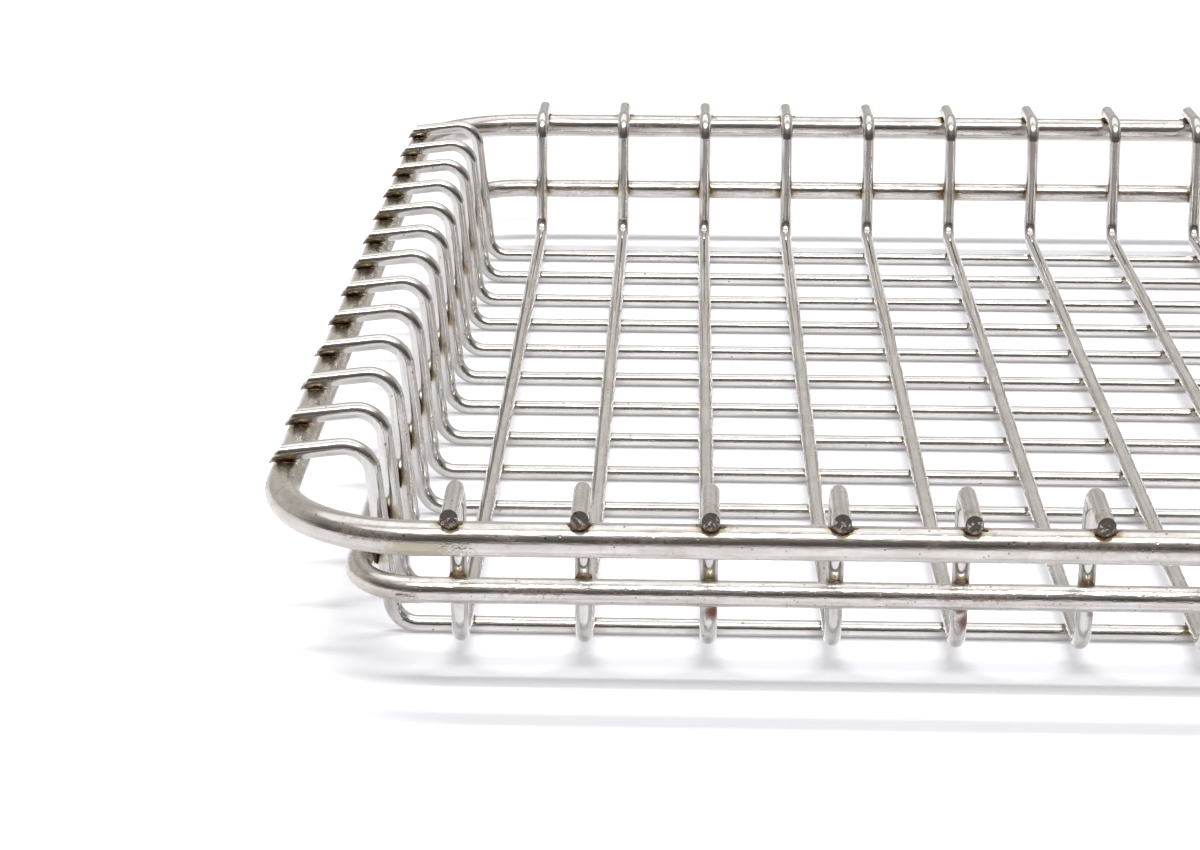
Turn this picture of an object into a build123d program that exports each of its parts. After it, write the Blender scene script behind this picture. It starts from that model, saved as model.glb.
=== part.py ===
# Wire sterilization tray: a shallow basket of welded stainless wire.
# +X runs along the long side, +Y from the front to the back, +Z up.
# The origin is the middle of the tray on the surface that it stands on. All lengths are mm.
# Row wires run side to side and lie lowest. Column wires run front to back and lie on them.
# Both rise at their ends into the walls and turn out over the rim rod.
from build123d import *
import os
from math import cos, radians, tan

# Stock that the tray is made of
wire_dia = 1.8            # mesh wires, rows and columns
belt_dia = 2.7            # rod round the outside of the walls
rim_dia = 3.5             # rod under the turned out wire ends

# Mesh
column_count = 21         # wires that run front to back
column_pitch = 12.7
row_count = 13            # wires that run side to side
row_pitch = 12.8
front_row_floor = 2.2     # the front row wire's floor lies this much nearer to its neighbour
front_row_flange = 0.6    # and its turned out ends this much, so that its walls lean

# Walls, the same for rows and columns
side_margin = 7.6         # outermost column wire to the foot of a side wall
end_margin = 6.4          # outermost row wire to the foot of the front or back wall
wall_draft = 6.0          # degrees that a wall leans outward
foot_bend = 2.8           # bend radii, on the wire's centre line
top_bend = 3.0
flange_reach = 8.7        # top corner of a wall to the rim rod's centre line
row_droop = 7.0           # degrees that the turned out ends fall towards the rim
column_droop = 1.5
row_overhang = 1.0        # rim rod's centre line to the middle of the cut end
column_overhang = 1.6
row_shear = 36.0          # degrees that the cut face leans back
column_shear = 12.0

# Rods
rim_height = 17.7         # centre line over the standing surface
rim_corner = 15.7         # corner radii, on the rods' centre lines
belt_height = 9.3
belt_corner = 7.2

# Pieces that are welded together stop this far apart, so that no two solids overlap
weld_gap = 0.02

draft_slope = tan(radians(wall_draft))

# Layers
row_floor = wire_dia / 2
column_floor = row_floor + wire_dia + weld_gap


def wall_at(foot, floor, height):
    """Distance from the middle to a wall wire's centre line at a height."""
    return foot + (height - floor) * draft_slope


def wall_top(droop):
    """Height where a wall's line meets the line of the flange, which rests on the rim rod."""
    seat = ((rim_dia + wire_dia) / 2 + weld_gap) / cos(radians(droop))
    return rim_height + seat + flange_reach * tan(radians(droop))


# Half lengths from the middle of the tray to the foot corners of the walls
column_span = (column_count - 1) * column_pitch / 2
row_span = (row_count - 1) * row_pitch / 2
side_foot = column_span + side_margin
end_foot = row_span + end_margin

# Rim rod and belt rod, half sizes of their centre lines
rim_half_x = wall_at(side_foot, row_floor, wall_top(row_droop)) + flange_reach
rim_half_y = wall_at(end_foot, column_floor, wall_top(column_droop)) + flange_reach
belt_seat = ((belt_dia + wire_dia) / 2 + weld_gap) / cos(radians(wall_draft))
belt_half_x = wall_at(side_foot, row_floor, belt_height) + belt_seat
belt_half_y = wall_at(end_foot, column_floor, belt_height) + belt_seat


def hat_wire(foot, floor, droop, overhang, shear, floor_shift=0.0, flange_shift=0.0):
    """One mesh wire along X: flange, wall, floor, wall, flange, with both ends sheared."""
    peak = wall_top(droop)
    top = wall_at(foot, floor, peak)
    end = top + flange_reach + overhang
    fall = tan(radians(droop))
    spare = wire_dia
    tip = peak - (end + spare - top) * fall
    half = [(end + spare, flange_shift, tip), (top, flange_shift, peak), (foot, floor_shift, floor)]
    points = half + [(-x, y, z) for x, y, z in reversed(half)]
    path = FilletPolyline(*points, radius=[top_bend, foot_bend, foot_bend, top_bend])
    section = Plane(origin=path @ 0, z_dir=path % 0) * Circle(wire_dia / 2)
    wire = sweep(section, path=path)
    for side in (1, -1):
        waste = Rotation(0, -side * shear, 0) * Box(4 * wire_dia, 4 * wire_dia, 6 * wire_dia)
        centre = end + 2 * wire_dia / cos(radians(shear))
        wire -= Pos(side * centre, flange_shift, peak - (end - top) * fall) * waste
    return wire


def closed_rod(half_x, half_y, corner, dia, height):
    """A rod bent into a closed rectangle with round corners."""
    outline = RectangleRounded(2 * half_x, 2 * half_y, corner).wire()
    path = outline.moved(Location((0, 0, height)))
    section = Plane(origin=path @ 0, z_dir=path % 0) * Circle(dia / 2)
    return sweep(section, path=path)


nodes = {}
nodes["rim_rod"] = closed_rod(rim_half_x, rim_half_y, rim_corner, rim_dia, rim_height)
nodes["belt_rod"] = closed_rod(belt_half_x, belt_half_y, belt_corner, belt_dia, belt_height)

row_shape = (side_foot, row_floor, row_droop, row_overhang, row_shear)
front_row = hat_wire(*row_shape, front_row_floor, front_row_flange)
plain_row = hat_wire(*row_shape)
for number in range(row_count):
    wire = plain_row if number else front_row
    nodes[f"row_wire_{number + 1:02d}"] = Pos(0, number * row_pitch - row_span, 0) * wire

column_shape = (end_foot, column_floor, column_droop, column_overhang, column_shear)
column_wire = Rotation(0, 0, 90) * hat_wire(*column_shape)
for number in range(column_count):
    place = Pos(number * column_pitch - column_span, 0, 0)
    nodes[f"column_wire_{number + 1:02d}"] = place * column_wire

os.makedirs("parts", exist_ok=True)
for name, piece in nodes.items():
    piece.label = name
    export_step(piece, f"parts/{name}.step")

print("rim rod outside", round(2 * rim_half_x + rim_dia, 2), round(2 * rim_half_y + rim_dia, 2))
print("belt rod outside", round(2 * belt_half_x + belt_dia, 2), round(2 * belt_half_y + belt_dia, 2))
print("top corners", round(wall_top(row_droop), 2), round(wall_top(column_droop), 2), "nodes", len(nodes))
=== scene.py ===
import random
from math import cos, pi, radians, sin, tan

import bmesh
import bpy
from mathutils import Matrix, Vector, noise


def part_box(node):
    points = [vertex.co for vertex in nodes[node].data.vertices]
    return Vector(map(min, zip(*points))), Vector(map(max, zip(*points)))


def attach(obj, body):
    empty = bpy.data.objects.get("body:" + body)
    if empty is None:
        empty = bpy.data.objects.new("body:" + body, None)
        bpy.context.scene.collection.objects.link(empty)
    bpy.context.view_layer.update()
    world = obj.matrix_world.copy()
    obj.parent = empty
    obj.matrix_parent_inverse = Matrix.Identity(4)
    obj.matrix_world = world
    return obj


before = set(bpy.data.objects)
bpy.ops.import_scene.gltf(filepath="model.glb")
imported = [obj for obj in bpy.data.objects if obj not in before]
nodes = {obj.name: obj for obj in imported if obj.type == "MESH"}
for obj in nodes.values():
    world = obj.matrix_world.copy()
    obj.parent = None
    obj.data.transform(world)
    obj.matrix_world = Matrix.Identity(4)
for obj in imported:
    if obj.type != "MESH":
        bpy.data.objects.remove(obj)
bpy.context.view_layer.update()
mm = 0.001
print("frame loaded with", len(nodes), "nodes")


# Places, read from the frame

def rodSizes(node):
    low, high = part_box(node)
    radius = (high.z - low.z) / 2
    return {"radius": radius, "height": (low.z + high.z) / 2,
            "halfX": high.x - radius, "halfY": high.y - radius}


rim = rodSizes("rim_rod")
belt = rodSizes("belt_rod")
columnNames = sorted(name for name in nodes if name.startswith("column_wire"))
rowNames = sorted(name for name in nodes if name.startswith("row_wire"))
columnLow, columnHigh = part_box(columnNames[0])
wireRadius = (columnHigh.x - columnLow.x) / 2
columnFloor = columnLow.z + wireRadius
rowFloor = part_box(rowNames[0])[0].z + wireRadius
columnX = [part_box(name)[0].x + wireRadius for name in columnNames]
rowFlangeY = [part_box(name)[0].y + wireRadius for name in rowNames]   # a leaning row's ends and floor differ
rowFloorY = [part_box(name)[1].y - wireRadius for name in rowNames]
columnPitch = columnX[1] - columnX[0]
rowPitch = rowFloorY[2] - rowFloorY[1]

bends = {                     # what the boxes don't tell, the same as in the solids
    "wallDraft": radians(6),
    "rowDroop": radians(7),
    "columnDroop": radians(1.5),
    "rowShear": radians(36),
    "columnShear": radians(12),
    "rimCorner": 15.7 * mm,
    "beltCorner": 7.2 * mm,
}
beltSeat = (belt["radius"] + wireRadius) / cos(bends["wallDraft"])


def wallAt(half, height):
    # Middle of the tray to a wall wire's centre line
    return half - beltSeat + (height - belt["height"]) * tan(bends["wallDraft"])


def flangeAt(out, half, droop):
    # Height of a turned out end's centre line
    return rim["height"] + (rim["radius"] + wireRadius) / cos(droop) - (out - half) * tan(droop)


# Small tools for objects

mergeDistance = 0.002 * mm


def addObject(name, data):
    added = bpy.data.objects.new(name, data)
    bpy.context.scene.collection.objects.link(added)
    return added


def meshFrom(bm, name, material):
    mesh = bpy.data.meshes.new(name)
    bm.to_mesh(mesh)
    bm.free()
    mesh.materials.append(material)
    return mesh


def finishPiece(bm, name, material):
    bmesh.ops.remove_doubles(bm, verts=bm.verts, dist=mergeDistance)
    bmesh.ops.recalc_face_normals(bm, faces=bm.faces)
    for face in bm.faces:
        face.smooth = True
    piece = addObject(name, meshFrom(bm, name, material))
    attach(piece, "root")
    print(name, len(piece.data.polygons), "faces")


def axesFrom(out, up):
    # Turns local x to the side, y up the face and z out of it
    side = up.cross(out).normalized()
    return Matrix((side, out.cross(side).normalized(), out.normalized())).transposed()


# Small tools for shader nodes

def put(tree, socket, value):
    if isinstance(value, bpy.types.NodeSocket):
        tree.links.new(value, socket)
    else:
        socket.default_value = value


def calc(tree, operation, *values, clamp=False):
    node = tree.nodes.new("ShaderNodeMath")
    node.operation = operation
    node.use_clamp = clamp
    for socket, value in zip(node.inputs, values):
        put(tree, socket, value)
    return node.outputs[0]


def plus(tree, total, *values):
    for value in values:
        total = calc(tree, "ADD", total, value)
    return total


def minus(tree, first, second):
    return calc(tree, "SUBTRACT", first, second)


def times(tree, total, *values):
    for value in values:
        total = calc(tree, "MULTIPLY", total, value)
    return total


def spread(tree, value, width, start):
    # A value from 0 to 1 made to run from the start over the width
    return calc(tree, "MULTIPLY_ADD", value, width, start)


def vectorCalc(tree, operation, *values):
    node = tree.nodes.new("ShaderNodeVectorMath")
    node.operation = operation
    for socket, value in zip(node.inputs, values):
        put(tree, socket, value)
    return node.outputs["Value" if operation in ("DOT_PRODUCT", "LENGTH") else "Vector"]


def ease(tree, value, start, end, low=0.0, high=1.0):
    node = tree.nodes.new("ShaderNodeMapRange")
    node.interpolation_type = "SMOOTHSTEP"
    for socket, given in zip(node.inputs, (value, start, end, low, high)):
        put(tree, socket, given)
    return node.outputs[0]


def blendColour(tree, share, first, second):
    node = tree.nodes.new("ShaderNodeMix")
    node.data_type = "RGBA"
    put(tree, node.inputs["Factor"], share)
    for socket, colour in zip(node.inputs[6:8], (first, second)):
        put(tree, socket, (*colour, 1) if isinstance(colour, tuple) else colour)
    return node.outputs[2]


def blendValue(tree, share, first, second):
    node = tree.nodes.new("ShaderNodeMix")
    put(tree, node.inputs["Factor"], share)
    put(tree, node.inputs[2], first)
    put(tree, node.inputs[3], second)
    return node.outputs[0]


def apart(tree, vector):
    node = tree.nodes.new("ShaderNodeSeparateXYZ")
    put(tree, node.inputs[0], vector)
    return node.outputs


def together(tree, x, y, z):
    node = tree.nodes.new("ShaderNodeCombineXYZ")
    for socket, value in zip(node.inputs, (x, y, z)):
        put(tree, socket, value)
    return node.outputs[0]


def noiseAt(tree, vector, scale, detail=2.0, roughness=0.5):
    node = tree.nodes.new("ShaderNodeTexNoise")
    put(tree, node.inputs["Vector"], vector)
    for label, value in (("Scale", scale), ("Detail", detail), ("Roughness", roughness)):
        put(tree, node.inputs[label], value)
    return node.outputs["Fac"]


def ramp(tree, value, stops):
    node = tree.nodes.new("ShaderNodeValToRGB")
    put(tree, node.inputs[0], value)
    marks = node.color_ramp.elements
    while len(marks) < len(stops):
        marks.new(0.5)
    for mark, (at, colour) in zip(marks, stops):
        mark.position = at
        mark.color = (*colour, 1)
    return node.outputs[0]


def addBump(tree, shader, height, depth):
    bump = tree.nodes.new("ShaderNodeBump")
    bump.inputs["Strength"].default_value = 1.0
    bump.inputs["Distance"].default_value = depth * mm
    put(tree, bump.inputs["Height"], height)
    put(tree, shader.inputs["Normal"], bump.outputs["Normal"])


def newGroup(name, inputs, outputs):
    tree = bpy.data.node_groups.new(name, "ShaderNodeTree")
    for direction, sockets in (("INPUT", inputs), ("OUTPUT", outputs)):
        for label, kind in sockets:
            tree.interface.new_socket(label, in_out=direction, socket_type="NodeSocket" + kind)
    return tree, tree.nodes.new("NodeGroupInput").outputs, tree.nodes.new("NodeGroupOutput").inputs


def useGroup(tree, group, **values):
    node = tree.nodes.new("ShaderNodeGroup")
    node.node_tree = group
    for label, value in values.items():
        put(tree, node.inputs[label], value)
    return node.outputs


# Effects that several finishes share. An entry that ends in Noise holds a noise's scale, detail and,
# where it isn't plain, roughness, and one that ends in Detail leaves out the scale. One that ends in
# Edge holds where a soft edge starts and ends, and one that ends in Spread a width and a start.

rodBlend = 9.0                # mm over which a rod's front turns into its end
wireBlend = {"wallEdge": (-0.8, 0.8), "overWallEdge": (0.2, 1.4), "flangeEdge": (-2.6, -1.0)}   # mm


def rodCoordinatesGroup():
    # Where a point lies on a rod that is bent into a rounded rectangle, in mm
    tree, given, result = newGroup(
        "rodCoordinates",
        [("Point", "Vector"), ("HalfX", "Float"), ("HalfY", "Float"), ("Corner", "Float"),
         ("Height", "Float")],
        [("Across", "Float"), ("Rise", "Float"), ("Along", "Float"), ("OnEnds", "Float")])
    x, y, z = apart(tree, given["Point"])
    overX = minus(tree, calc(tree, "ABSOLUTE", x), minus(tree, given["HalfX"], given["Corner"]))
    overY = minus(tree, calc(tree, "ABSOLUTE", y), minus(tree, given["HalfY"], given["Corner"]))
    outside = vectorCalc(tree, "LENGTH", together(
        tree, calc(tree, "MAXIMUM", overX, 0.0), calc(tree, "MAXIMUM", overY, 0.0), 0.0))
    inside = calc(tree, "MINIMUM", calc(tree, "MAXIMUM", overX, overY), 0.0)
    put(tree, result["Across"], minus(tree, plus(tree, outside, inside), given["Corner"]))
    put(tree, result["Rise"], minus(tree, z, given["Height"]))
    put(tree, result["Along"], plus(tree, x, y))
    put(tree, result["OnEnds"], ease(tree, minus(tree, overX, overY), -rodBlend, rodBlend))
    return tree


def wireCoordinatesGroup():
    # Where a point lies on a wire that is bent up at its two ends, in mm
    tree, given, result = newGroup(
        "wireCoordinates",
        [("Run", "Float"), ("Side", "Float"), ("Rise", "Float"), ("Foot", "Float"), ("Floor", "Float"),
         ("Rim", "Float"), ("Flange", "Float"), ("Droop", "Float")],
        [("Across", "Float"), ("Along", "Float"), ("OnWall", "Float"), ("OnFlange", "Float")])
    run = calc(tree, "ABSOLUTE", given["Run"])
    overFoot = minus(tree, run, given["Foot"])
    overFloor = minus(tree, given["Rise"], given["Floor"])
    draft = bends["wallDraft"]
    overWall = minus(tree, times(tree, overFoot, cos(draft)), times(tree, overFloor, sin(draft)))
    fall = times(tree, minus(tree, run, given["Rim"]), given["Droop"])
    overFlange = plus(tree, minus(tree, given["Rise"], given["Flange"]), fall)
    onWall = ease(tree, plus(tree, overFoot, overFloor), *wireBlend["wallEdge"])
    onFlange = times(tree, ease(tree, overWall, *wireBlend["overWallEdge"]),
                     ease(tree, overFlange, *wireBlend["flangeEdge"]))
    across = blendValue(tree, onWall, overFloor, overWall)
    put(tree, result["Across"], blendValue(tree, onFlange, across, overFlange))
    put(tree, result["Along"], plus(tree, run, given["Rise"]))
    put(tree, result["OnWall"], onWall)
    put(tree, result["OnFlange"], onFlange)
    return tree


grainShape = {"lineDetail": (3.0, 0.62), "bandFineness": 0.27}


def drawnGrainGroup():
    # Fine lines that the drawing die leaves along a wire or rod
    tree, given, result = newGroup(
        "drawnGrain",
        [("Across", "Float"), ("Side", "Float"), ("Along", "Float"), ("Fineness", "Float"),
         ("Stretch", "Float")],
        [("Lines", "Float"), ("Bands", "Float")])
    along = calc(tree, "DIVIDE", given["Along"], given["Stretch"])
    point = together(tree, given["Across"], given["Side"], along)
    bandFineness = times(tree, given["Fineness"], grainShape["bandFineness"])
    put(tree, result["Lines"], noiseAt(tree, point, given["Fineness"], *grainShape["lineDetail"]))
    put(tree, result["Bands"], noiseAt(tree, point, bandFineness))
    return tree


fleckShape = {
    "dotEdge": (0.34, 0.12), "rustyOver": 0.72,
    "stainDetail": (4.0, 0.6), "stainEdge": (0.42, 0.72),
    "patchNoise": (0.11, 2.0), "patchEdge": (0.5, 0.66),
    "brokenNoise": (1.5, 4.0, 0.65), "brokenEdge": (0.38, 0.66),
}


def surfaceFlecksGroup():
    # Small pits, rusty flecks, the soft stains of many sterilizer runs and a thin broken film
    tree, given, result = newGroup(
        "surfaceFlecks",
        [("Point", "Vector"), ("PitScale", "Float"), ("PitShare", "Float"), ("StainScale", "Float")],
        [("Pits", "Float"), ("Flecks", "Float"), ("Stain", "Float"), ("Film", "Float")])
    point = given["Point"]
    cells = tree.nodes.new("ShaderNodeTexVoronoi")
    put(tree, cells.inputs["Vector"], point)
    put(tree, cells.inputs["Scale"], given["PitScale"])
    shade = apart(tree, cells.outputs["Color"])
    dots = ease(tree, cells.outputs["Distance"], *fleckShape["dotEdge"])
    pits = times(tree, dots, calc(tree, "LESS_THAN", shade[0], given["PitShare"]))
    rusty = calc(tree, "GREATER_THAN", shade[1], fleckShape["rustyOver"])
    stain = noiseAt(tree, point, given["StainScale"], *fleckShape["stainDetail"])
    patches = ease(tree, noiseAt(tree, point, *fleckShape["patchNoise"]), *fleckShape["patchEdge"])
    broken = ease(tree, noiseAt(tree, point, *fleckShape["brokenNoise"]), *fleckShape["brokenEdge"])
    put(tree, result["Pits"], pits)
    put(tree, result["Flecks"], times(tree, pits, rusty))
    put(tree, result["Stain"], ease(tree, stain, *fleckShape["stainEdge"]))
    put(tree, result["Film"], times(tree, patches, broken))
    return tree


tintShape = {
    "raggedNoise": (1.1, 3.0, 0.6), "raggedSpread": (1.3, 0.35),
    "unevenNoise": (0.09, 1.0), "unevenSpread": (1.5, 0.25),
    "colours": [(0.0, (0.045, 0.034, 0.026)), (0.28, (0.15, 0.09, 0.045)), (0.5, (0.30, 0.24, 0.13)),
                (0.78, (0.50, 0.45, 0.34)), (1.0, (0.62, 0.60, 0.56))],
    "fadeEdge": (1.0, 0.35), "burntEdge": (0.42, 0.1),
}


def weldTintGroup():
    # Oxide colours round a weld: burnt at its edge, then brown, olive and straw
    tree, given, result = newGroup(
        "weldTint",
        [("Point", "Vector"), ("Distance", "Float"), ("Reach", "Float")],
        [("Tint", "Color"), ("Mask", "Float"), ("Burnt", "Float")])
    point = given["Point"]
    ragged = spread(tree, noiseAt(tree, point, *tintShape["raggedNoise"]), *tintShape["raggedSpread"])
    uneven = spread(tree, noiseAt(tree, point, *tintShape["unevenNoise"]), *tintShape["unevenSpread"])
    reach = times(tree, given["Reach"], uneven)
    share = calc(tree, "DIVIDE", times(tree, given["Distance"], ragged), reach, clamp=True)
    put(tree, result["Tint"], ramp(tree, share, tintShape["colours"]))
    put(tree, result["Mask"], ease(tree, share, *tintShape["fadeEdge"]))
    put(tree, result["Burnt"], ease(tree, share, *tintShape["burntEdge"]))
    return tree


rodCoordinates = rodCoordinatesGroup()
wireCoordinates = wireCoordinatesGroup()
drawnGrain = drawnGrainGroup()
surfaceFlecks = surfaceFlecksGroup()
weldTint = weldTintGroup()
print("shared effects ready")


# Steel finishes

def newMaterial(name):
    material = bpy.data.materials.new(name)
    material.use_nodes = True
    tree = material.node_tree
    shader = tree.nodes["Principled BSDF"]
    place = tree.nodes.new("ShaderNodeTexCoord").outputs["Object"]
    point = vectorCalc(tree, "MULTIPLY", place, (1 / mm, 1 / mm, 1 / mm))   # object coordinates in mm
    return material, tree, shader, point


def toNearest(tree, value, pitch, last):
    # Distance to the nearest of the wires, which end at the last one
    between = calc(tree, "PINGPONG", value, pitch / mm / 2)
    return calc(tree, "MAXIMUM", between, minus(tree, calc(tree, "ABSOLUTE", value), last / mm))


steelMarks = {                # the same on rods and wires
    "bandEdge": (0.3, 0.7), "mottleDetail": (4.0, 0.65), "mottleEdge": (0.46, 0.68), "dullMottle": 0.4,
    "pitShade": 0.7, "rustShade": 0.8,
    "stainRough": 0.06, "filmRough": 0.25, "tintRough": 0.12, "burntRough": 0.2,
}


def finishSteel(tree, shader, look, point, grain, distance,
                dulledAndShaded=None, scarred=None, rusted=None, filmed=1.0):
    # The steel itself, its draw lines, its stains and the tint of its welds
    flecks = useGroup(tree, surfaceFlecks, Point=point, PitScale=look["pitScale"],
                      PitShare=look["pitShare"], StainScale=look["stainScale"])
    tint = useGroup(tree, weldTint, Point=point, Distance=distance, Reach=look["tintReach"])
    banded = ease(tree, grain["Bands"], *steelMarks["bandEdge"])
    steel = blendColour(tree, banded, look["shade"], look["colour"])
    rough = spread(tree, grain["Lines"], look["roughRange"], look["rough"] - look["roughRange"] / 2)
    height = plus(tree, grain["Lines"], times(tree, grain["Bands"], look["bandDepth"]))
    height = minus(tree, height, times(tree, flecks["Pits"], look["pitDepth"]))
    mottle = look["mottle"]
    # Painted shade on the tray's two ends, with more roughness and mottle there
    if dulledAndShaded is not None:
        steel = blendColour(tree, dulledAndShaded, steel, look["shadedEndColour"])
        rough = plus(tree, rough, times(tree, dulledAndShaded, look["dullRough"]))
        mottle = spread(tree, dulledAndShaded, steelMarks["dullMottle"], mottle)
    steel = blendColour(tree, times(tree, flecks["Stain"], look["stain"]), steel, look["stainColour"])
    mottled = ease(tree, noiseAt(tree, point, look["mottleScale"], *steelMarks["mottleDetail"]),
                   *steelMarks["mottleEdge"])
    steel = blendColour(tree, times(tree, mottled, mottle), steel, look["mottleColour"])
    film = times(tree, flecks["Film"], look["film"], filmed)
    if rusted is not None:
        film = calc(tree, "MAXIMUM", film, rusted)
    steel = blendColour(tree, film, steel, look["filmColour"])
    if scarred is not None:
        stained, torn = scarred
        steel = blendColour(tree, stained, steel, look["scarColour"])
        height = plus(tree, height, times(tree, torn, look["scarDepth"]))
    steel = blendColour(tree, times(tree, flecks["Pits"], steelMarks["pitShade"]), steel, look["pitColour"])
    steel = blendColour(tree, times(tree, flecks["Flecks"], steelMarks["rustShade"]), steel,
                        look["rustColour"])
    steel = blendColour(tree, times(tree, tint["Mask"], look["tint"]), steel, tint["Tint"])
    put(tree, shader.inputs["Base Color"], steel)
    rough = plus(tree, rough, times(tree, flecks["Stain"], steelMarks["stainRough"]),
                 times(tree, film, steelMarks["filmRough"]),
                 times(tree, tint["Mask"], steelMarks["tintRough"]))
    rough = calc(tree, "ADD", rough, times(tree, tint["Burnt"], steelMarks["burntRough"]), clamp=True)
    put(tree, shader.inputs["Roughness"], rough)
    put(tree, shader.inputs["Metallic"], spread(tree, film, -look["filmCover"], 1.0))
    addBump(tree, shader, height, look["bump"])


rodLook = {
    "colour": (0.71, 0.69, 0.665), "shade": (0.56, 0.53, 0.50),
    # The tray's two ends are rougher, and their colour is a painted shade, darker and yellower
    "shadedEndColour": (0.60, 0.575, 0.51), "dullAndShade": 0.75, "dullRough": 0.16,   # the tray's two ends, yellower
    "dullAndShadeNoise": (0.25, 3.0), "dullAndShadeSpread": (0.8, 0.6),
    "stainColour": (0.49, 0.44, 0.385), "stain": 0.4, "stainScale": 0.3,
    "pitScale": 2.1, "pitShare": 0.09, "pitColour": (0.16, 0.13, 0.10), "rustColour": (0.30, 0.11, 0.05),
    "mottleColour": (0.44, 0.41, 0.37), "mottle": 0.12, "mottleScale": 1.3,
    "filmColour": (0.25, 0.11, 0.08), "film": 0.7, "filmCover": 0.7,      # thin rust
    "filmBand": (-0.1, 0.15, 0.5, 0.75), "filmElsewhere": 0.17,           # by height, in rod radii
    "pitDepth": 0.9, "rough": 0.12, "roughRange": 0.12, "bump": 0.017, "bandDepth": 0.8,
    "grainFineness": 5.0, "grainStretch": 9.0, "tint": 0.85, "tintReach": 2.3,
    "scarColour": (0.33, 0.29, 0.18), "scarDepth": 1.8,
}
beltLook = {**rodLook, "pitShare": 0.2, "pitScale": 2.9, "grainFineness": 7.0, "bump": 0.02}
wireLook = {
    "colour": (0.70, 0.682, 0.66), "shade": (0.58, 0.56, 0.535),
    "stainColour": (0.46, 0.43, 0.38), "stain": 0.25, "stainScale": 0.2,
    "pitScale": 1.9, "pitShare": 0.04, "pitColour": (0.15, 0.13, 0.11), "rustColour": (0.27, 0.11, 0.06),
    "mottleColour": (0.44, 0.42, 0.39), "mottle": 0.1, "mottleScale": 1.6,
    "filmColour": (0.20, 0.085, 0.06), "film": 0.1, "filmCover": 0.6,
    "pitDepth": 1.4, "rough": 0.12, "roughRange": 0.1, "bump": 0.006, "bandDepth": 1.8,
    "grainFineness": 7.0, "grainStretch": 14.0, "tint": 0.85, "tintReach": 2.0,
    "crossSquash": 1.3, "crossOff": 0.7, "crossFade": 1.25,               # tint at the floor's crossings
}

# Butt welds that close the two rods: mm, and degrees round the rod, up from its front
rimJoint = {"x": -126.5, "length": 4.8, "from": -66, "to": 1, "proud": 0.04, "rough": 0.1,
            "cuts": (72, 36), "stain": 0.7}
beltJoint = {"x": -131.6, "length": 3.2, "from": -90, "to": -6, "proud": 0.03, "rough": 0.05,
             "cuts": (40, 28), "stain": 0.35}
scarShape = {                 # along the rod in lengths of the joint, up and forward in mm
    "raggedNoise": (1.4, 4.0, 0.65), "raggedSpread": (0.9, -0.45),
    "onItEdge": (0.5, 0.2), "besideEdge": (0.95, 0.3), "besideShift": 0.75,
    "frontEdge": (0.0, -1.0), "lowEdge": (0.35, -0.2),
    "tornNoise": (3.6, 3.0, 0.6), "tornEdge": (0.6, 0.38), "spotEdge": (0.35, 0.0),
}


def scarAt(tree, point, spot, joint):
    # Where a rod was closed by a butt weld: olive stain beside it, pits and torn skin on it
    x, y, z = apart(tree, point)
    off = calc(tree, "DIVIDE", minus(tree, x, joint["x"]), joint["length"])
    ragged = spread(tree, noiseAt(tree, point, *scarShape["raggedNoise"]), *scarShape["raggedSpread"])
    front = ease(tree, y, *scarShape["frontEdge"])
    low = ease(tree, spot["Rise"], *scarShape["lowEdge"])
    fromMiddle = plus(tree, calc(tree, "ABSOLUTE", off), ragged)
    onIt = times(tree, ease(tree, fromMiddle, *scarShape["onItEdge"]), front, low)
    shifted = plus(tree, off, scarShape["besideShift"])
    toSide = plus(tree, calc(tree, "ABSOLUTE", shifted), ragged)
    beside = times(tree, ease(tree, toSide, *scarShape["besideEdge"]), front, low)
    torn = ease(tree, noiseAt(tree, point, *scarShape["tornNoise"]), *scarShape["tornEdge"])
    spots = times(tree, onIt, ease(tree, torn, *scarShape["spotEdge"]))
    stained = times(tree, calc(tree, "MAXIMUM", spots, beside), joint["stain"])
    return stained, times(tree, onIt, torn)


def rodSteel(name, rod, corner, look, seatAngle, joint):
    # seatAngle is where round the rod the wires are welded to it, up from its outer side
    material, tree, shader, point = newMaterial(name)
    spot = useGroup(tree, rodCoordinates, Point=point, HalfX=rod["halfX"] / mm, HalfY=rod["halfY"] / mm,
                    Corner=corner / mm, Height=rod["height"] / mm)
    grain = useGroup(tree, drawnGrain, Across=spot["Across"], Side=spot["Rise"], Along=spot["Along"],
                     Fineness=look["grainFineness"], Stretch=look["grainStretch"])
    x, y, z = apart(tree, point)
    toWire = blendValue(tree, spot["OnEnds"], toNearest(tree, x, columnPitch, columnX[-1]),
                        toNearest(tree, y, rowPitch, rowFloorY[-1]))
    radius = rod["radius"] / mm
    distance = vectorCalc(tree, "LENGTH", together(
        tree, toWire, minus(tree, spot["Across"], radius * cos(seatAngle)),
        minus(tree, spot["Rise"], radius * sin(seatAngle))))
    # Uneven reach of the painted shade and the extra roughness on the tray's two ends
    uneven = spread(tree, noiseAt(tree, point, *look["dullAndShadeNoise"]), *look["dullAndShadeSpread"])
    dulledAndShaded = calc(tree, "MULTIPLY", times(tree, spot["OnEnds"], uneven), look["dullAndShade"], clamp=True)
    rise = calc(tree, "DIVIDE", spot["Rise"], radius)
    low, full, fading, high = look["filmBand"]
    banded = times(tree, ease(tree, rise, low, full), ease(tree, rise, high, fading))
    filmed = calc(tree, "MAXIMUM", banded, look["filmElsewhere"])
    finishSteel(tree, shader, look, point, grain, distance, dulledAndShaded=dulledAndShaded,
                scarred=scarAt(tree, point, spot, joint), filmed=filmed)
    return material


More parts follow.
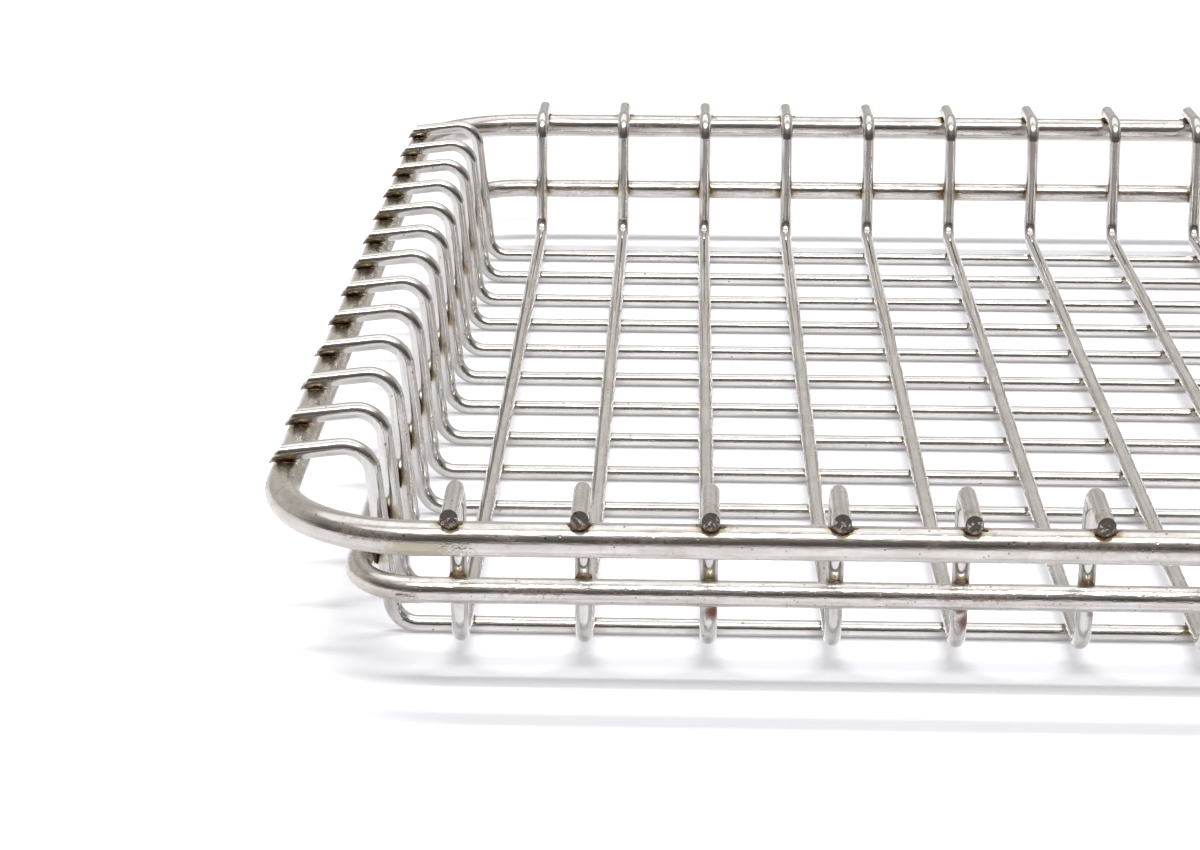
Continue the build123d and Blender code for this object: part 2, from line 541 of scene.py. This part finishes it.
rustMarks = [                 # on the front wall, in mm: beside the wire's middle and over the ground
    {"column": 2, "side": 0.5, "height": 6.6, "size": 1.3, "strength": 1.0},
    {"column": 4, "side": 0.2, "height": 7.4, "size": 1.0, "strength": 1.0},
    {"column": 4, "side": 0.75, "height": 5.8, "size": 1.4, "strength": 0.9},
    {"column": 5, "side": 0.7, "height": 6.9, "size": 0.8, "strength": 0.55},
]
rustShape = {"raggedNoise": (1.3, 4.0, 0.65), "raggedSpread": (1.6, 0.2), "core": 0.3}


def rustAt(tree, point):
    # The rusty places of single wires
    ragged = spread(tree, noiseAt(tree, point, *rustShape["raggedNoise"]), *rustShape["raggedSpread"])
    rusted = 0.0
    for mark in rustMarks:
        out = wallAt(belt["halfY"], mark["height"] * mm) / mm + wireRadius / mm
        place = (columnX[mark["column"]] / mm + mark["side"], -out, mark["height"])
        away = vectorCalc(tree, "LENGTH", vectorCalc(tree, "SUBTRACT", point, place))
        share = ease(tree, times(tree, away, ragged), mark["size"], mark["size"] * rustShape["core"],
                     0.0, mark["strength"])
        rusted = calc(tree, "MAXIMUM", rusted, share)
    return rusted


def wireSteel(name, look, alongX):
    material, tree, shader, point = newMaterial(name)
    x, y, z = apart(tree, point)
    run, side = (x, y) if alongX else (y, x)
    halfBelt, halfRim = (belt["halfX"], rim["halfX"]) if alongX else (belt["halfY"], rim["halfY"])
    floor = rowFloor if alongX else columnFloor
    droop = bends["rowDroop"] if alongX else bends["columnDroop"]
    spot = useGroup(tree, wireCoordinates, Run=run, Side=side, Rise=z, Foot=wallAt(halfBelt, floor) / mm,
                    Floor=floor / mm, Rim=halfRim / mm, Flange=flangeAt(halfRim, halfRim, droop) / mm,
                    Droop=tan(droop))
    grain = useGroup(tree, drawnGrain, Across=spot["Across"], Side=side, Along=spot["Along"],
                     Fineness=look["grainFineness"], Stretch=look["grainStretch"])
    # Nearest weld: at the rim, at the belt, or where wires cross on the floor
    out = calc(tree, "ABSOLUTE", run)
    atRim = vectorCalc(tree, "LENGTH", together(
        tree, minus(tree, out, halfRim / mm), minus(tree, z, (rim["height"] + rim["radius"]) / mm), 0.0))
    atBelt = vectorCalc(tree, "LENGTH", together(
        tree, minus(tree, out, (halfBelt - belt["radius"]) / mm), minus(tree, z, belt["height"] / mm), 0.0))
    crossPitch = columnPitch if alongX else rowPitch
    lastCross = columnX[-1] if alongX else rowFloorY[-1]
    overSeam = minus(tree, z, (rowFloor + columnFloor) / 2 / mm)
    atCross = vectorCalc(tree, "LENGTH", together(
        tree, toNearest(tree, run, crossPitch, lastCross), times(tree, overSeam, look["crossSquash"]),
        look["crossOff"]))
    atCross = times(tree, atCross, look["crossFade"])
    distance = calc(tree, "MINIMUM", calc(tree, "MINIMUM", atRim, atBelt), atCross)
    finishSteel(tree, shader, look, point, grain, distance, rusted=None if alongX else rustAt(tree, point))
    return material


burntLook = {
    "colours": [(0.3, (0.045, 0.032, 0.025)), (0.46, (0.12, 0.07, 0.04)), (0.6, (0.23, 0.155, 0.09)),
                (0.75, (0.42, 0.36, 0.28))],
    "patchNoise": (1.3, 3.0, 0.6), "grainNoise": (4.5, 3.0, 0.65),
    "specks": 0.8, "speckColour": (0.7, 0.66, 0.6),
    "rough": 0.34, "metal": 0.88, "bump": 0.12, "scorch": 0.0, "scorchColour": (0.2, 0.12, 0.06),
}
shearedLook = {
    "colours": [(0.36, (0.20, 0.18, 0.165)), (0.48, (0.54, 0.51, 0.485)), (0.62, (0.86, 0.83, 0.805))],
    "patchNoise": (2.4, 3.0, 0.6), "grainNoise": (7.0, 3.0, 0.65),
    "specks": 1.0, "speckColour": (0.9, 0.88, 0.86),
    "rough": 0.25, "metal": 0.75, "bump": 0.36, "scorch": 0.75, "scorchColour": (0.36, 0.225, 0.14),
}
weldMarks = {"speckEdge": (0.6, 0.72), "scorchSpread": (1.6, -0.8), "scorchEdge": (0.95, 0.25),
             "roughRange": 0.3}


def weldMetal(name, look):
    # Squeezed out or torn metal: dull and lumpy, with a few bright specks, and burnt next to the rim rod
    material, tree, shader, point = newMaterial(name)
    coarse = noiseAt(tree, point, *look["patchNoise"])
    fine = noiseAt(tree, point, *look["grainNoise"])
    specks = times(tree, ease(tree, fine, *weldMarks["speckEdge"]), look["specks"])
    colour = blendColour(tree, specks, ramp(tree, coarse, look["colours"]), look["speckColour"])
    overRim = minus(tree, apart(tree, point)[2], (rim["height"] + rim["radius"]) / mm)
    overRim = plus(tree, overRim, spread(tree, coarse, *weldMarks["scorchSpread"]))
    scorched = times(tree, ease(tree, overRim, *weldMarks["scorchEdge"]), look["scorch"])
    put(tree, shader.inputs["Base Color"], blendColour(tree, scorched, colour, look["scorchColour"]))
    put(tree, shader.inputs["Roughness"], spread(
        tree, fine, weldMarks["roughRange"], look["rough"] - weldMarks["roughRange"] / 2))
    shader.inputs["Metallic"].default_value = look["metal"]
    addBump(tree, shader, plus(tree, fine, coarse), look["bump"])
    return material


rimSteel = rodSteel("rimSteel", rim, bends["rimCorner"], rodLook, radians(90), rimJoint)
beltSteel = rodSteel("beltSteel", belt, bends["beltCorner"], beltLook, radians(180), beltJoint)
rowSteel = wireSteel("rowSteel", wireLook, True)
columnSteel = wireSteel("columnSteel", wireLook, False)
burntWeld = weldMetal("burntWeld", burntLook)
shearedSteel = weldMetal("shearedSteel", shearedLook)

rodFinishes = {"rim_rod": rimSteel, "belt_rod": beltSteel}
for name, piece in nodes.items():
    wireFinish = rowSteel if name.startswith("row") else columnSteel
    piece.material_slots[0].material = rodFinishes.get(name, wireFinish)
print("steel finishes on", len(nodes), "nodes")


# Welds, in mm: half sizes, the share that they vary by, and how far they sit out and sink in

rimWeld = {"across": 0.95, "along": 0.95, "thick": 0.34, "rough": 0.3, "vary": 0.16, "rings": 3,
           "outward": 0.3, "sink": 0.08}
sideWeld = {"across": 0.8, "along": 1.0, "thick": 0.2, "rough": 0.55, "vary": 0.2, "rings": 3,
            "outward": -0.1, "sink": 0.08}
whisker = {"across": 0.5, "along": 0.3, "thick": 0.13, "rough": 0.45, "vary": 0.35, "rings": 2,
           "start": 0.75, "drift": (0.1, 0.4), "tilt": 0.25}
beltWeld = {"across": 0.95, "along": 1.45, "thick": 0.32, "rough": 0.34, "vary": 0.16, "rings": 3}
floorWeld = {"across": 0.82, "along": 0.82, "thick": 0.36, "rough": 0.3, "vary": 0.12, "rings": 1}
lumpNoise = {"scale": 1.9, "shift": (7.31, 3.17, 1.93)}
chance = random.Random(11)                                      # draws for all welds and cut ends
up = Vector((0, 0, 1))


def addLump(bm, place, axes, look):
    # A weld's squeezed out metal: a ball, roughened, then flattened to its seat
    sizes = [look[side] * mm * (1 + chance.uniform(-look["vary"], look["vary"]))
             for side in ("across", "along", "thick")]
    seed = chance.random()
    offset = Vector([seed * part for part in lumpNoise["shift"]])
    verts = bmesh.ops.create_icosphere(bm, subdivisions=look["rings"], radius=1.0)["verts"]
    for vert in verts:
        vert.co *= 1 + look["rough"] * noise.noise(vert.co * lumpNoise["scale"] + offset)
    bmesh.ops.scale(bm, verts=verts, vec=Vector(sizes))
    bmesh.ops.rotate(bm, verts=verts, cent=Vector(), matrix=axes)
    bmesh.ops.translate(bm, verts=verts, vec=place)


def contacts(onRim):
    # Each place where a wire meets the rod, with its outward direction
    rod = rim if onRim else belt
    inward = 0 if onRim else rod["radius"]
    height = rod["height"] + (rod["radius"] if onRim else 0)
    # How far up the wall the rod meets it, for a row that leans
    share = (height - rowFloor) / (flangeAt(rim["halfX"], rim["halfX"], bends["rowDroop"]) - rowFloor)
    for sign in (-1, 1):
        for x in columnX:
            yield Vector((x, sign * (rod["halfY"] - inward), height)), Vector((0, sign, 0))
        for flangeY, floorY in zip(rowFlangeY, rowFloorY):
            y = flangeY if onRim else floorY + (flangeY - floorY) * share
            yield Vector((sign * (rod["halfX"] - inward), y, height)), Vector((sign, 0, 0))


def makeRimWelds():
    # A flat bead under each wire and thin fins that were pressed out at its two sides
    bm = bmesh.new()
    for place, out in contacts(True):
        look = rimWeld if out.y else sideWeld
        axes = axesFrom(up, out)
        spot = place + out * look["outward"] * mm - up * look["sink"] * mm
        addLump(bm, spot, axes, look)
        for side in (-1, 1):
            start = look["across"] * whisker["start"] + chance.uniform(*whisker["drift"])
            tilt = Matrix.Rotation(chance.uniform(-whisker["tilt"], whisker["tilt"]), 3, "Z")
            addLump(bm, spot + out.cross(up) * side * start * mm, axes @ tilt, whisker)
    finishPiece(bm, "rimWelds", burntWeld)


def makeBeltWelds():
    bm = bmesh.new()
    for place, out in contacts(False):
        addLump(bm, place, axesFrom(out, up), beltWeld)
    finishPiece(bm, "beltWelds", burntWeld)


def makeFloorWelds():
    bm = bmesh.new()
    for x in columnX:
        for y in rowFloorY:
            place = Vector((x, y, (rowFloor + columnFloor) / 2))
            addLump(bm, place, axesFrom(up, Vector((0, 1, 0))), floorWeld)
    finishPiece(bm, "floorWelds", burntWeld)


# Sheared wire ends

cutEnd = {                    # mm, on a round end that is then stretched to the slanting cut
    "segments": 20, "overlap": 1.02, "lip": 0.11,
    "steps": ((0.07, 0.10), (0.13, 0.03), (0.24, -0.05), (0.24, 0.03)),      # inward and outward
    "within": 0.97, "rough": 0.16, "roughScale": 3.1, "roughPlaces": 50,     # inside the lip
    "tear": 0.13, "ledge": 0.2, "turn": 0.5, "middle": (-0.15, 0.25),        # the step across
}


def addCutEnd(bm, centre, axes, stretch):
    # Rounded lip, a torn face and a step across it where the wire broke off
    earlier = len(bm.verts)                                     # of the ends before this one
    radius = wireRadius / mm
    made = bmesh.ops.create_circle(bm, cap_ends=True, radius=radius * cutEnd["overlap"],
                                   segments=cutEnd["segments"])
    face = made["verts"][0].link_faces[0]
    for thickness, depth in cutEnd["steps"]:
        bmesh.ops.inset_individual(bm, faces=[face], thickness=thickness, depth=depth)
    bmesh.ops.poke(bm, faces=[face])
    places = cutEnd["roughPlaces"]
    offset = Vector((chance.uniform(0, places), chance.uniform(0, places), 0))
    turn = chance.uniform(-cutEnd["turn"], cutEnd["turn"])
    step = chance.uniform(*cutEnd["middle"])
    upward = Vector((-sin(turn), cos(turn), 0))
    for height in (step, step + cutEnd["ledge"]):
        verts = list(bm.verts)[earlier:]
        faces = dict.fromkeys(face for vert in verts for face in vert.link_faces)
        edges = dict.fromkeys(edge for face in faces for edge in face.edges)
        bmesh.ops.bisect_plane(bm, geom=[*verts, *edges, *faces], plane_co=upward * height,
                               plane_no=upward)
    verts = list(bm.verts)[earlier:]
    for vert in verts:
        flat = Vector((vert.co.x, vert.co.y, 0))
        if flat.length < cutEnd["within"] * radius:
            vert.co.z += cutEnd["rough"] * noise.noise(flat * cutEnd["roughScale"] + offset)
            if flat.dot(upward) > step + cutEnd["ledge"] / 2:
                vert.co.z -= cutEnd["tear"]
    border = [edge for edge in bm.edges if edge.is_boundary]    # the ends before this one are closed
    for edge in border:
        edge.smooth = False
    bmesh.ops.edgeloop_fill(bm, edges=border)
    bmesh.ops.translate(bm, verts=verts, vec=Vector((0, 0, -cutEnd["lip"])))
    bmesh.ops.scale(bm, verts=verts, vec=Vector((mm, mm * stretch, mm)))
    bmesh.ops.rotate(bm, verts=verts, cent=Vector(), matrix=axes)
    bmesh.ops.translate(bm, verts=verts, vec=centre)


def makeCutEnds():
    bm = bmesh.new()
    for names, half, droop, shear, axis in (
            (columnNames, rim["halfY"], bends["columnDroop"], bends["columnShear"], 1),
            (rowNames, rim["halfX"], bends["rowDroop"], bends["rowShear"], 0)):
        stretch = 1 / cos(shear + droop)
        for index, name in enumerate(names):
            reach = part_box(name)[1][axis] - wireRadius * stretch * sin(shear)
            for sign in (-1, 1):
                out = Vector((0, sign, 0)) if axis else Vector((sign, 0, 0))
                centre = out * reach + up * flangeAt(reach, half, droop)
                if axis:
                    centre.x = columnX[index]
                else:
                    centre.y = rowFlangeY[index]
                normal = out * cos(shear) + up * sin(shear)
                addCutEnd(bm, centre, axesFrom(normal, up), stretch)
    finishPiece(bm, "cutEnds", shearedSteel)


# Beads of the two butt welds

jointBead = {                 # mm, and shares of the patch's half size and of the rod's radius
    "sink": 0.06, "swell": 1.7, "fade": 1.5, "back": 0.25,
    "coarse": (3, 2.4), "fine": (8, 6), "fineShare": 0.6,
}


def makeJoint(name, rod, look, material):
    # A ground down weld bead: a patch bent round the rod's front whose edge sinks into the rod
    bm = bmesh.new()
    along, around = look["cuts"]
    bmesh.ops.create_grid(bm, x_segments=along, y_segments=around, size=1.0)
    coarse, fine = jointBead["coarse"], jointBead["fine"]
    for vert in bm.verts:
        u, v = vert.co.x, vert.co.y
        edge = max(0.0, 1 - u * u) * max(0.0, 1 - v * v)
        bump = noise.noise(Vector((u * coarse[0], v * coarse[1], look["x"])))
        bump += jointBead["fineShare"] * noise.noise(Vector((u * fine[0], v * fine[1], 1)))
        lift = (look["proud"] + jointBead["sink"]) * min(1, jointBead["swell"] * edge) - jointBead["sink"]
        lift += look["rough"] * bump * min(1, jointBead["fade"] * edge)
        radius = rod["radius"] + lift * mm
        angle = radians(look["from"] + (look["to"] - look["from"]) * (v + 1) / 2)
        vert.co = Vector((look["x"] * mm + u * look["length"] / 2 * mm,
                          -rod["halfY"] - radius * cos(angle), rod["height"] + radius * sin(angle)))
    inner = bmesh.ops.extrude_face_region(bm, geom=list(bm.faces))
    for vert in (item for item in inner["geom"] if isinstance(item, bmesh.types.BMVert)):
        vert.co.y += jointBead["back"] * rod["radius"]          # closes the patch inside the rod
    finishPiece(bm, name, material)


makeRimWelds()
makeBeltWelds()
makeFloorWelds()
makeCutEnds()
makeJoint("rimButtWeld", rim, rimJoint, rimSteel)
makeJoint("beltButtWeld", belt, beltJoint, beltSteel)


# Floor

floorLook = {
    "radius": 3.0, "sides": 64, "colour": (0.79, 0.785, 0.83), "rough": 0.9,
    "lift": 0.28, "shown": 0.82,                                # the share of it that the metal shows
    "sideLift": 0.08, "sideEdge": (-0.13, -0.152),              # left of the tray
    "dimLift": 0.86, "dimEdge": (-0.108, -0.25), "dimColour": (0.13, 0.125, 0.125),   # in front of it
}


def tableMaterial():
    # Pale, and white to the camera. In front of the tray it is dim to all but the camera.
    material = bpy.data.materials.new("whiteTable")
    material.use_nodes = True
    tree = material.node_tree
    shader = tree.nodes["Principled BSDF"]
    x, y, z = apart(tree, tree.nodes.new("ShaderNodeTexCoord").outputs["Object"])
    dim = ease(tree, y, *floorLook["dimEdge"])
    put(tree, shader.inputs["Base Color"], blendColour(
        tree, dim, floorLook["colour"], floorLook["dimColour"]))
    shader.inputs["Roughness"].default_value = floorLook["rough"]
    shader.inputs["Specular IOR Level"].default_value = 0.0
    rays = tree.nodes.new("ShaderNodeLightPath")
    camera = rays.outputs["Is Camera Ray"]
    mirrored = calc(tree, "MAXIMUM", rays.outputs["Is Glossy Ray"], rays.outputs["Is Transmission Ray"])
    seen = calc(tree, "MAXIMUM", camera, times(tree, mirrored, floorLook["shown"]))
    beside = ease(tree, x, *floorLook["sideEdge"], 0.0, floorLook["sideLift"])
    extra = times(tree, spread(tree, dim, floorLook["dimLift"], beside), camera)
    shader.inputs["Emission Color"].default_value = (1, 1, 1, 1)
    put(tree, shader.inputs["Emission Strength"], plus(tree, times(tree, seen, floorLook["lift"]), extra))
    return material


def makeFloor():
    bm = bmesh.new()
    bmesh.ops.create_circle(bm, cap_ends=True, radius=floorLook["radius"], segments=floorLook["sides"])
    floor = addObject("studioFloor", meshFrom(bm, "studioFloor", tableMaterial()))


makeFloor()
print("floor ready")


# Studio light

studio = {
    "overhead": 1.55, "overheadLean": radians(1), "overheadEdge": (radians(46), radians(40)),
    "gapLean": radians(-5), "gap": 0.15, "gapCore": 0.3, "gapShade": 0.78,    # dark line across it
    "front": [(0.0, (0.12, 0.106, 0.098)), (0.36, (0.13, 0.115, 0.107)), (0.5, (0.24, 0.22, 0.205)),
              (0.68, (0.30, 0.28, 0.265))],                     # by height over the horizon
    "back": [(0.0, (0.52, 0.485, 0.45)), (0.14, (0.62, 0.585, 0.55)), (0.31, (0.82, 0.79, 0.765)),
             (0.41, (0.62, 0.60, 0.59)), (0.64, (0.60, 0.59, 0.59))],
    "backEdge": (-0.35, 0.45),
    "fill": 0.25,                                               # share of it all that softens the shadows
}


def makeWorld():
    world = bpy.data.worlds.new("studio")
    bpy.context.scene.world = world
    world.use_nodes = True
    tree = world.node_tree
    direction = tree.nodes.new("ShaderNodeTexCoord").outputs["Generated"]
    lean, gapLean = studio["overheadLean"], studio["gapLean"]
    toCentre = vectorCalc(tree, "DOT_PRODUCT", direction, (0, sin(lean), cos(lean)))
    overhead = ease(tree, toCentre, *(cos(angle) for angle in studio["overheadEdge"]))
    offGap = vectorCalc(tree, "DOT_PRODUCT", direction, (0, cos(gapLean), -sin(gapLean)))
    gap = ease(tree, calc(tree, "ABSOLUTE", offGap), studio["gap"], studio["gap"] * studio["gapCore"],
               0.0, studio["gapShade"])
    overhead = times(tree, overhead, minus(tree, 1.0, gap))
    x, y, z = apart(tree, direction)
    around = blendColour(tree, ease(tree, y, *studio["backEdge"]), ramp(tree, z, studio["front"]),
                         ramp(tree, z, studio["back"]))
    light = blendColour(tree, overhead, around, (studio["overhead"],) * 3)
    rays = tree.nodes.new("ShaderNodeLightPath")
    background = tree.nodes["Background"]
    put(tree, background.inputs["Color"], blendColour(
        tree, rays.outputs["Is Camera Ray"], light, (1, 1, 1)))
    put(tree, background.inputs["Strength"], ease(
        tree, rays.outputs["Is Diffuse Ray"], 0.0, 1.0, 1.0, studio["fill"]))


lampAim = Vector((-0.11, -0.09, 0.0))                           # the corner that the photograph shows
lamps = {
    "frontStrip": {"towards": (0.1, -0.45, 1.0), "distance": 2.0, "length": 1.7, "width": 0.21,
                   "power": 22.5, "mirrored": True},
    "topStrip": {"towards": (0.0, 0.185, 1.0), "distance": 2.0, "length": 2.2, "width": 0.17,
                 "power": 27.0, "mirrored": False},
}


def makeLamp(name, look):
    lamp = bpy.data.lights.new(name, "AREA")
    lamp.shape = "RECTANGLE"
    lamp.size = look["length"]
    lamp.size_y = look["width"]
    lamp.energy = look["power"]
    holder = addObject(name, lamp)
    towards = Vector(look["towards"]).normalized()
    holder.location = lampAim + towards * look["distance"]
    holder.rotation_euler = towards.to_track_quat("Z", "Y").to_euler()
    holder.visible_glossy = look["mirrored"]


makeWorld()
for lampName, lampLook in lamps.items():
    makeLamp(lampName, lampLook)
print("studio light ready")


# Camera, at the photograph's place

photo = {
    "place": (-104.21, -359.64, 117.2),       # mm
    "yaw": radians(-1.762), "pitch": radians(-18.239), "roll": radians(0.115),
    "focal": 2911.0, "width": 1200.0,         # pixels
    "sensor": 36.0,                           # mm
}


def makeCamera():
    camera = bpy.data.cameras.new("photoCamera")
    camera.sensor_fit = "HORIZONTAL"
    camera.sensor_width = photo["sensor"]
    camera.lens = photo["focal"] / photo["width"] * photo["sensor"]
    camera.clip_start = 0.01
    holder = addObject("photoCamera", camera)
    turn = (Matrix.Rotation(-photo["yaw"], 4, "Z") @ Matrix.Rotation(pi / 2 + photo["pitch"], 4, "X")
            @ Matrix.Rotation(photo["roll"], 4, "Z"))
    holder.matrix_world = Matrix.Translation(Vector(photo["place"]) * mm) @ turn
    bpy.context.scene.camera = holder


makeCamera()
bpy.context.scene.view_settings.view_transform = "Standard"

print("scene ready")
